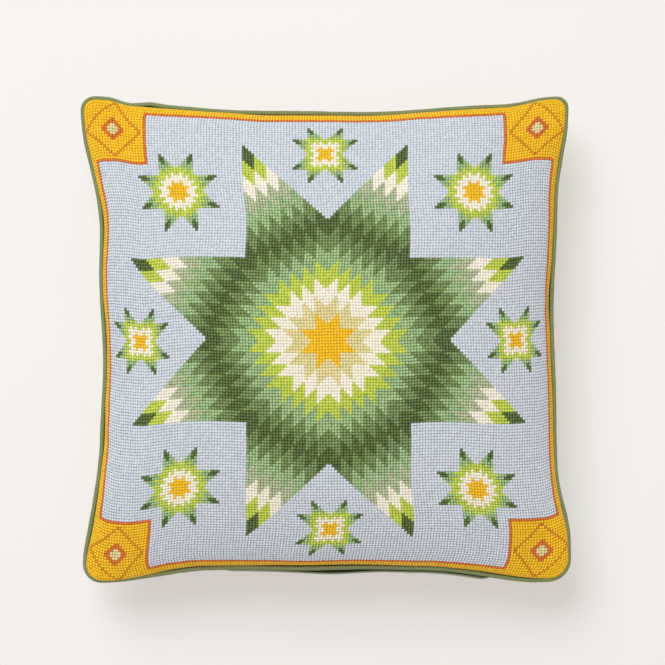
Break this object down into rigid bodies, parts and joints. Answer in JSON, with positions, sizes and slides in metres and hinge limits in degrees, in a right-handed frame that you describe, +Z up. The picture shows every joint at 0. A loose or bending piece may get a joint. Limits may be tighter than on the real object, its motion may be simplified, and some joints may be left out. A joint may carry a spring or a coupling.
{
  "type": "needlepoint cushion",
  "caption": "Square knife-edge cushion with a needlepoint front, contrast piping, a plain back and a filled pad, closed by a zip under a lip in the lower seam.",
  "frame": {"origin": "on the surface that the cushion lies on, under the centre of its bounding box", "axes": "+Z up out of the needlepoint front, +Y towards the top of the design, +X to its right; the zip runs along X in the seam at -Y"},
  "size_m": [0.4434, 0.4401, 0.1109],
  "materials": {
    "wool_needlepoint": "matte tapestry wool worked in slanting stitches over the whole canvas, pale blue-grey ground with greens, cream and golden yellow",
    "green_cotton": "plain mid green cotton with a soft short nap",
    "green_cotton_piping": "sage green cotton, smooth, cut on the bias over a cord",
    "cotton_cambric": "close undyed cotton cambric",
    "zip_tape": "woven green zip tape",
    "zip_nylon": "green nylon coil",
    "zip_metal": "dull plated zinc or brass"
  },
  "bodies": {
    "cushion": {"front_panel": "wool_needlepoint", "back_panel": "green_cotton", "piping": "green_cotton_piping", "inner_pad": "cotton_cambric", "zip_tape_upper": "zip_tape", "zip_tape_lower": "zip_tape", "zip_coil_upper": "zip_nylon", "zip_coil_lower": "zip_nylon", "zip_stop_right": "zip_metal", "zip_stop_left": "zip_metal"},
    "slider": {"zip_slider": "zip_metal"},
    "pull": {"zip_pull": "zip_metal"}
  },
  "joints": [
    {"name": "zip_slide", "type": "slide", "parent": "cushion", "child": "slider", "axis": [1, 0, 0], "range_m": [-0.217, 0]},
    {"name": "pull_hinge", "type": "hinge", "parent": "slider", "child": "pull", "pos_m": [0.1295, -0.19847, 0.03703], "axis": [0, -0.5592, 0.829], "range_deg": [0, 15]}
  ]
}
